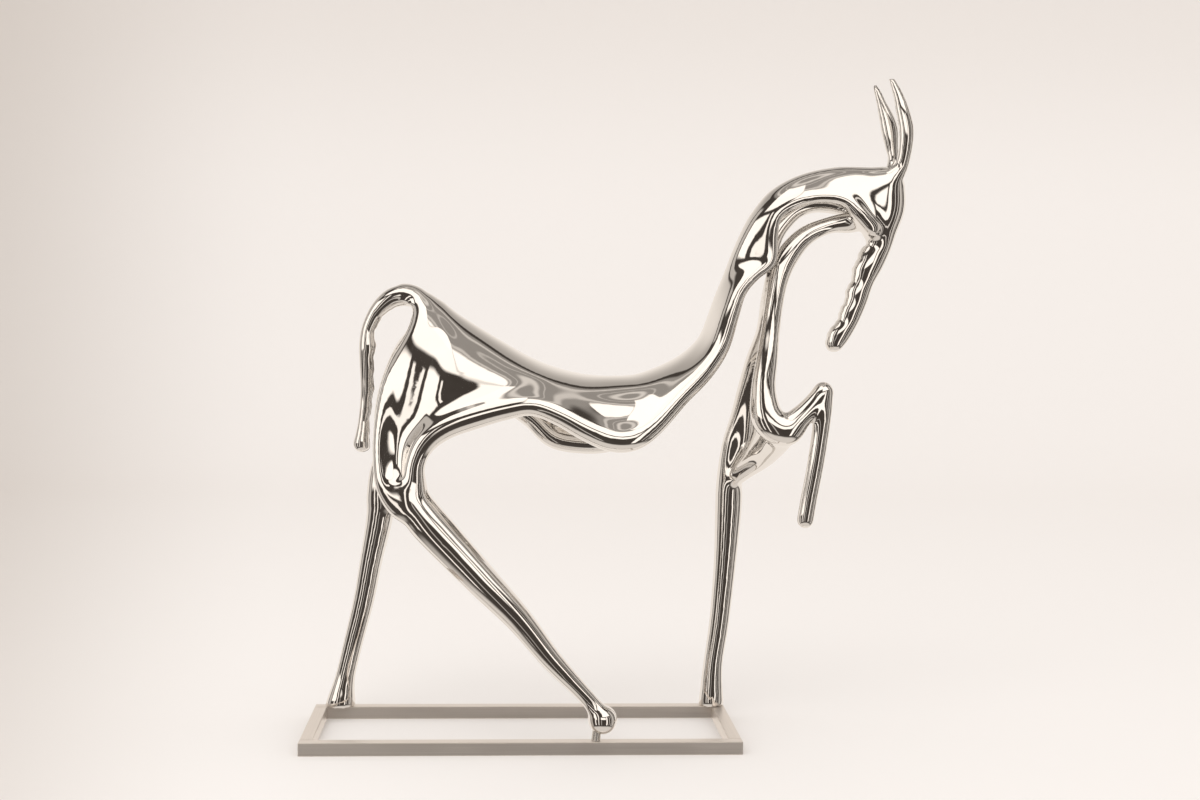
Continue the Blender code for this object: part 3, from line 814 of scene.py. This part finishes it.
def polished_normals(verts, faces, rounds):
    """Slope of the blurred field, evened out by the share EVEN_START - cover / EVEN_REACH."""
    normals = unit(slope_at(blurred(steel, NORMAL_BLUR), verts, CELL))
    even = normals
    for _ in range(rounds):
        even = unit(even + neighbour_mean(even, faces))
    cover = sample(np.minimum(skins, chest_skin), verts)
    share = np.clip(EVEN_START - cover / EVEN_REACH, 0, 1)[:, None]
    return unit(normals + (even - normals) * share)


def normals_at(places, normals):
    """Sum of the normals in the 27 cells around, each times (1 - distance / reach) squared."""
    cell = np.floor((places - origin) / CELL).astype(int)
    total = 1e-6 * unit(slope_at(steel, places, CELL))
    for move in np.ndindex(3, 3, 3):
        near = np.clip(cell + move - 1, 0, np.array(number.shape) - 1)
        index = number[tuple(near.T)]
        far = np.linalg.norm(verts[index] - places, axis=1)
        share = np.clip(1 - far / NORMAL_REACH, 0, 1) ** 2 * (index >= 0)
        total += normals[index] * share[:, None]
    return unit(total)


even = polished_normals(verts, faces, EVEN_ROUNDS)
print("normals", even.shape)

# %% [markdown]
# ## The horse as a mesh
#
# The mesh is made from whole arrays and then thinned to a number of triangles that a library
# part can carry. It rides on the frame's root body and takes the CAD horse's place.

# %% Horse
MOST_TRIANGLES = 190000


def mesh_object(name, verts, faces):
    """Object from whole arrays of vertices and four-sided faces."""
    mesh = bpy.data.meshes.new(name)
    mesh.vertices.add(len(verts))
    mesh.vertices.foreach_set("co", verts.astype(np.float32).ravel())
    mesh.loops.add(faces.size)
    mesh.loops.foreach_set("vertex_index", faces.astype(np.int32).ravel())
    mesh.polygons.add(len(faces))
    mesh.polygons.foreach_set("loop_start", np.arange(0, faces.size, 4, dtype=np.int32))
    mesh.update(calc_edges=True)
    mesh.validate()
    item = bpy.data.objects.new(name, mesh)
    bpy.context.scene.collection.objects.link(item)
    return item


def applied(item):
    """The modifiers' result becomes the object's own mesh."""
    bpy.context.view_layer.update()
    graph = bpy.context.evaluated_depsgraph_get()
    result = bpy.data.meshes.new_from_object(item.evaluated_get(graph))
    old = item.data
    item.modifiers.clear()
    item.data = result
    bpy.data.meshes.remove(old)


horse = mesh_object("horse_polished", verts, faces)
if 2 * len(faces) > MOST_TRIANGLES:
    thin = horse.modifiers.new("thin", "DECIMATE")
    thin.ratio = MOST_TRIANGLES / (2 * len(faces))
    applied(horse)
count = len(horse.data.vertices)
co = np.empty(count * 3, np.float32)
horse.data.vertices.foreach_get("co", co)
co = co.reshape(-1, 3).astype(float)
normals = normals_at(co, even)
horse.data.polygons.foreach_set("use_smooth", np.ones(len(horse.data.polygons), bool))
horse.data.normals_split_custom_set_from_vertices(normals)
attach(horse, "root")
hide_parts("horse")
print("horse", count, "vertices",
      len(horse.data.loops) - 2 * len(horse.data.polygons), "triangles")

# %% [markdown]
# ## Shader maths
#
# A socket wrapped in a small class can be added, multiplied and subtracted like a number; each
# operation adds one Math node.

# %% Shader helper


class Node:
    """Wraps an output socket; operators add Math nodes."""

    def __init__(self, tree, socket):
        self.tree, self.socket = tree, socket

    def make(self, kind, settings=None, inputs=None, output=0):
        """A node of a kind with its settings, then values or links for its sockets."""
        node = self.tree.nodes.new(kind)
        for key, value in (settings or {}).items():
            setattr(node, key, value)
        for key, value in (inputs or {}).items():
            if isinstance(value, Node):
                self.tree.links.new(value.socket, node.inputs[key])
            else:
                node.inputs[key].default_value = value
        return Node(self.tree, node.outputs[output])

    def maths(self, operation, other, swap=False):
        """One Math node on this socket and a value or another socket."""
        first, second = (other, self) if swap else (self, other)
        return self.make("ShaderNodeMath", {"operation": operation}, {0: first, 1: second})

    def __add__(self, other):
        return self.maths("ADD", other)

    def __radd__(self, other):
        return self.maths("ADD", other, True)

    def __mul__(self, other):
        return self.maths("MULTIPLY", other)

    def __rmul__(self, other):
        return self.maths("MULTIPLY", other, True)

    def __sub__(self, other):
        return self.maths("SUBTRACT", other)

    def __rsub__(self, other):
        return self.maths("SUBTRACT", other, True)


def new_material(name):
    """A material, its node tree, its shader and the object coordinates as a Node."""
    material = bpy.data.materials.new(name)
    material.use_nodes = True
    tree = material.node_tree
    shader = tree.nodes["Principled BSDF"]
    point = Node(tree, tree.nodes.new("ShaderNodeTexCoord").outputs["Object"])
    return material, tree, shader, point


def mixed(point, factor, low, high):
    """Colour between low and high by a factor from 0 to 1."""
    return point.make("ShaderNodeMix", {"data_type": "RGBA"},
                      {"Factor": factor, 6: (*low, 1), 7: (*high, 1)}, 2)


print("shader helper ready")

# %% [markdown]
# ## Polished steel
#
# Hand polishing leaves the mirror a little wavy and a little hazy in places. The waves go into a
# weak bump, the haze into the roughness, and a faint warm cast into the colour.

# %% Polished steel
HAZE_LEAST, HAZE_MORE = 0.022, 0.035
DULL_TONE, CLEAR_TONE = (0.80, 0.775, 0.745), (0.90, 0.885, 0.865)


def polished_steel():
    """Mirror with slow waves: bump from noise, roughness least + more times another noise."""
    material, tree, shader, point = new_material("polished steel")
    shader.inputs["Metallic"].default_value = 1.0
    haze = point.make("ShaderNodeTexNoise", None,
                      {"Vector": point, "Scale": 9.0, "Detail": 3.0, "Roughness": 0.6})
    tree.links.new((haze * HAZE_MORE + HAZE_LEAST).socket, shader.inputs["Roughness"])
    tint = mixed(point, haze, DULL_TONE, CLEAR_TONE)
    tree.links.new(tint.socket, shader.inputs["Base Color"])
    waves = point.make("ShaderNodeTexNoise", None,
                       {"Vector": point, "Scale": 7.0, "Detail": 1.0, "Roughness": 0.5})
    bump = point.make("ShaderNodeBump", None,
                      {"Strength": 0.10, "Distance": 0.02, "Height": waves})
    tree.links.new(bump.socket, shader.inputs["Normal"])
    return material


horse.data.materials.clear()
horse.data.materials.append(polished_steel())
print("horse material set")

# %% [markdown]
# ## Satin steel of the frame
#
# The square tube is brushed along its length: fine streaks in colour and roughness, stretched by
# squeezing the coordinates across the tube.

# %% Satin steel
ACROSS_SCALE, ALONG_SCALE = 220.0, 3.0
RAIL_ROUGH, PIN_ROUGH = 0.26, 0.10
LOW_TONE, HIGH_TONE = (0.64, 0.58, 0.525), (0.92, 0.86, 0.80)
PIN_LOW_TONE, PIN_HIGH_TONE = (0.55, 0.52, 0.48), (0.75, 0.72, 0.68)


def satin_steel(name, along, colour_low, colour_high, rough):
    """Streaks along an axis: noise of a point whose other two coordinates are scaled up."""
    material, tree, shader, point = new_material(name)
    shader.inputs["Metallic"].default_value = 0.75
    scale = [ACROSS_SCALE] * 3
    scale[along] = ALONG_SCALE
    squeezed = point.make("ShaderNodeVectorMath", {"operation": "MULTIPLY"},
                          {0: point, 1: scale})
    streaks = point.make("ShaderNodeTexNoise", None,
                         {"Vector": squeezed, "Scale": 1.0, "Detail": 3.0, "Roughness": 0.65})
    cloud = point.make("ShaderNodeTexNoise", None,
                       {"Vector": point, "Scale": 6.0, "Detail": 2.0, "Roughness": 0.5})
    share = streaks * 0.6 + cloud * 0.4
    tree.links.new(mixed(point, share, colour_low, colour_high).socket,
                   shader.inputs["Base Color"])
    tree.links.new((share * 0.16 + rough).socket, shader.inputs["Roughness"])
    bump = point.make("ShaderNodeBump", None,
                      {"Strength": 0.12, "Distance": 0.001, "Height": streaks})
    tree.links.new(bump.socket, shader.inputs["Normal"])
    return material


for node, along in (("rail_front", 0), ("rail_back", 0), ("rail_left", 1), ("rail_right", 1)):
    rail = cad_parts[node]
    rail.data.materials.clear()
    rail.data.materials.append(satin_steel("satin " + node, along, LOW_TONE, HIGH_TONE,
                                           RAIL_ROUGH))
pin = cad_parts["hoof_pin"]
pin.data.materials.clear()
pin.data.materials.append(satin_steel("pin steel", 2, PIN_LOW_TONE, PIN_HIGH_TONE, PIN_ROUGH))
print("frame materials set")

# %% [markdown]
# ## Pale room
#
# A mirror shows what is round it. The camera sees only a pale sweep of paper: a floor that bends
# up into a wall far behind the horse, so there is no corner and no horizon. The paper's colour
# holds painted shade, darker to the left and high up where the light falls off, fanning out from
# the camera's place. The steel doesn't see the paper itself; it sees the dome of the next step.

# %% Room
# The second colour is the paper in its painted shade, to the left and high up.
PALE, PALE_IN_PAINTED_SHADE = (0.960, 0.930, 0.905), (0.720, 0.674, 0.633)
SHADE_TURN, SHADE_RISE = (-0.36, -0.12), (1.6, 3.6)
SHADE_NEAR, SHADE_HIGH = 2.0, 0.35
SWEEP_FRONT = -12.0
ARC_STEPS = 25
WORLD_TONE = (0.960, 0.935, 0.915, 1)
SWEEP_START, SWEEP_RADIUS, SWEEP_TOP, SWEEP_SIDE = 5.0, 3.0, 9.0, 14.0


def sweep_mesh():
    """Profile: level floor, quarter circle (y + r sin a, r - r cos a), upright wall."""
    angle = np.linspace(0, np.pi / 2, ARC_STEPS)
    y = np.concatenate(([SWEEP_FRONT], SWEEP_START + SWEEP_RADIUS * np.sin(angle),
                        [SWEEP_START + SWEEP_RADIUS]))
    z = np.concatenate(([0.0], SWEEP_RADIUS * (1 - np.cos(angle)), [SWEEP_TOP]))
    verts = np.vstack([np.column_stack((np.full(len(y), side * SWEEP_SIDE), y, z))
                       for side in (-1, 1)])
    first = np.arange(len(y) - 1)
    faces = np.column_stack((first, first + len(y), first + len(y) + 1, first + 1))
    mesh = bpy.data.meshes.new("floor")
    mesh.from_pydata(verts.tolist(), [], faces.tolist())
    mesh.polygons.foreach_set("use_smooth", np.ones(len(faces), bool))
    return mesh


def smooth_between(value, low, high):
    """0 below low, 1 above high, smooth between."""
    return value.make("ShaderNodeMapRange", {"interpolation_type": "SMOOTHSTEP"},
                      {0: value, 1: low, 2: high, 3: 0.0, 4: 1.0})


def paper(name):
    """Matt paper with painted shade: darker where x over depth is under SHADE_TURN and where z is
    over SHADE_RISE.
    """
    material, tree, shader, point = new_material(name)
    shader.inputs["Roughness"].default_value = 0.9
    shader.inputs["Specular IOR Level"].default_value = 0.1
    parts = tree.nodes.new("ShaderNodeSeparateXYZ")
    tree.links.new(point.socket, parts.inputs[0])
    x, y, z = (Node(tree, socket) for socket in parts.outputs)
    away = y - EYE.y
    depth = (away * away + SHADE_NEAR ** 2).maths("SQRT", 0.0)
    # Painted shade: the pale colour gives way to the darker one left of the camera's line and high
    # up.
    share = smooth_between((x - EYE.x).maths("DIVIDE", depth), *SHADE_TURN)
    share = share * (1 - smooth_between(z, *SHADE_RISE) * SHADE_HIGH)
    tree.links.new(mixed(point, share, PALE_IN_PAINTED_SHADE, PALE).socket, shader.inputs["Base Color"])
    return material


floor = bpy.data.objects.new("floor", sweep_mesh())
bpy.context.scene.collection.objects.link(floor)
floor.data.materials.append(paper("paper"))
floor.visible_glossy = False

world = bpy.data.worlds.new("room")
world.use_nodes = True
bpy.context.scene.world = world
background = world.node_tree.nodes["Background"]
background.inputs["Color"].default_value = WORLD_TONE
background.inputs["Strength"].default_value = 1.0
print("room ready")

# %% [markdown]
# ## The reflected dome
#
# Round the horse hangs a big dome that only the steel sees. Its pattern is written in two
# angles: turn, from -180 to 180 degrees with 0 towards the camera, and height above the horizon.
# Pale paper lies below and behind, a grey ceiling with pale beams above, and a dark room with
# bright windows and light walls between them on the camera's side. A window is the product of
# four smooth steps, one for each side, and a beam is a window that runs all the way round.

# %% Windows


def window(turn, height, left, right, bottom, top, soft):
    """1 inside the rectangle of angles, 0 outside, soft at its edges."""
    sides = smooth_between(turn, left - soft, left + soft)
    sides = sides * (1 - smooth_between(turn, right - soft, right + soft))
    ends = smooth_between(height, bottom - soft, bottom + soft)
    ends = ends * (1 - smooth_between(height, top - soft, top + soft))
    return sides * ends


# left, right, bottom, top, softness in degrees; share of full brightness
WINDOWS = (
    (-68, -4, 40, 76, 2.0, 0.95),
    (-3, 60, 26, 64, 2.0, 1.00),
    (-80, -46, -4, 32, 2.0, 0.95),
    (-16, 22, 4, 19, 1.5, 0.95),
    (-60, -53, -36, -4, 1.0, 0.80),
    (-36, -30, -36, 30, 1.0, 0.85),
    (26, 36, -36, 22, 1.0, 0.95),
    (49, 52, -36, 22, 0.7, 0.55),
    (-13, -9, -36, 2, 0.8, 0.35),
    (76, 92, -40, 50, 2.5, 0.42),
    (-106, -86, -40, 46, 2.5, 0.38),
    (65, 68, -40, 60, 0.7, 0.60),
    (98, 101, -40, 60, 0.7, 0.50),
    (-190, 190, 66, 68.5, 0.8, 0.26),
    (-190, 190, 74, 75, 0.4, 0.18),
    (-190, 190, 79, 83, 1.5, 0.32),
)


print(len(WINDOWS), "windows, walls and beams")

# %% [markdown]
# ## The dome's pattern
#
# Edges are angles in degrees between which the glow changes softly. The paper behind fades with
# height, because less light falls on it there.

# %% Dome
DOME = 7.0
DOME_MIDDLE = (0, 0, 0.8)
DARK, BRIGHT = (0.042, 0.033, 0.027), (1.42, 1.31, 1.20)
CEILING_EDGE, CEILING_GLOW = (61.0, 64.0), 0.20
BEHIND_EDGE, BEHIND_TOP = (110.0, 116.0), (56.0, 58.0)
BEHIND_GLOW, BEHIND_LOSS, LOSS_EDGE = 0.64, 0.36, (12.0, 56.0)
BELOW_EDGE, BELOW_GLOW = (-52.0, -40.0), 0.50
CLOUD_GLOW = 0.03


def dome_pattern(turn, height, cloud):
    """Sum of walls, ceiling, paper and windows, as a share of full brightness."""
    side = turn.maths("ABSOLUTE", 0.0)
    ceiling = smooth_between(height, *CEILING_EDGE) * CEILING_GLOW
    behind = smooth_between(side, *BEHIND_EDGE) * (1 - smooth_between(height, *BEHIND_TOP))
    fading = BEHIND_GLOW - smooth_between(height, *LOSS_EDGE) * BEHIND_LOSS
    below = (1 - smooth_between(height, *BELOW_EDGE)) * (1 - behind)
    glow = ceiling + cloud * CLOUD_GLOW + behind * fading + below * BELOW_GLOW
    for left, right, bottom, top, soft, power in WINDOWS:
        glow = glow + window(turn, height, left, right, bottom, top, soft) * power
    return glow


def dome_material():
    """Emission colour = dark to bright by the pattern."""
    material = bpy.data.materials.new("dome")
    material.use_nodes = True
    tree = material.node_tree
    tree.nodes.remove(tree.nodes["Principled BSDF"])
    point = Node(tree, tree.nodes.new("ShaderNodeTexCoord").outputs["Object"])
    parts = tree.nodes.new("ShaderNodeSeparateXYZ")
    tree.links.new(point.socket, parts.inputs[0])
    x, y, z = (Node(tree, socket) for socket in parts.outputs)
    degrees = 180 / math.pi
    turn = x.maths("ARCTAN2", y * -1.0) * degrees
    height = (z * (1 / DOME)).maths("ARCSINE", 0.0) * degrees
    cloud = point.make("ShaderNodeTexNoise", None,
                       {"Vector": point, "Scale": 0.45, "Detail": 2.0, "Roughness": 0.5})
    glow = dome_pattern(turn, height, cloud)
    shine = tree.nodes.new("ShaderNodeEmission")
    tree.links.new(mixed(point, glow, DARK, BRIGHT).socket, shine.inputs["Color"])
    tree.links.new(shine.outputs[0], tree.nodes["Material Output"].inputs["Surface"])
    material.cycles.emission_sampling = "NONE"
    return material


bpy.ops.mesh.primitive_uv_sphere_add(segments=96, ring_count=48, radius=DOME,
                                     location=DOME_MIDDLE)
dome = bpy.context.object
dome.name = "dome"
dome.data.materials.append(dome_material())
dome.visible_camera = False
dome.visible_diffuse = False
dome.visible_shadow = False
print("dome of radius", DOME)

# %% [markdown]
# ## Light
#
# The pale world lights the paper from everywhere. One broad soft light over the camera adds a
# hint of shade under the frame. The view transform is the plain one, so pale stays pale.

# %% Light
LIGHT_PLACE, LIGHT_TARGET = (-1.5, -3.0, 4.5), (0.0, 0.0, 0.5)
LIGHT_SIZE, LIGHT_POWER = (3.0, 3.0), 45


def light(name, centre, target, size, power):
    """Area light aimed at a target, out of the camera's and the mirror's sight."""
    data = bpy.data.lights.new(name, "AREA")
    data.shape = "RECTANGLE"
    data.size, data.size_y = size
    data.energy = power
    item = bpy.data.objects.new(name, data)
    item.location = centre
    item.rotation_euler = (Vector(target) - Vector(centre)).to_track_quat("-Z", "Y").to_euler()
    bpy.context.scene.collection.objects.link(item)
    item.visible_camera = False
    item.visible_glossy = False


light("broad", LIGHT_PLACE, LIGHT_TARGET, LIGHT_SIZE, LIGHT_POWER)
bpy.context.scene.view_settings.view_transform = "Standard"
print("light ready")
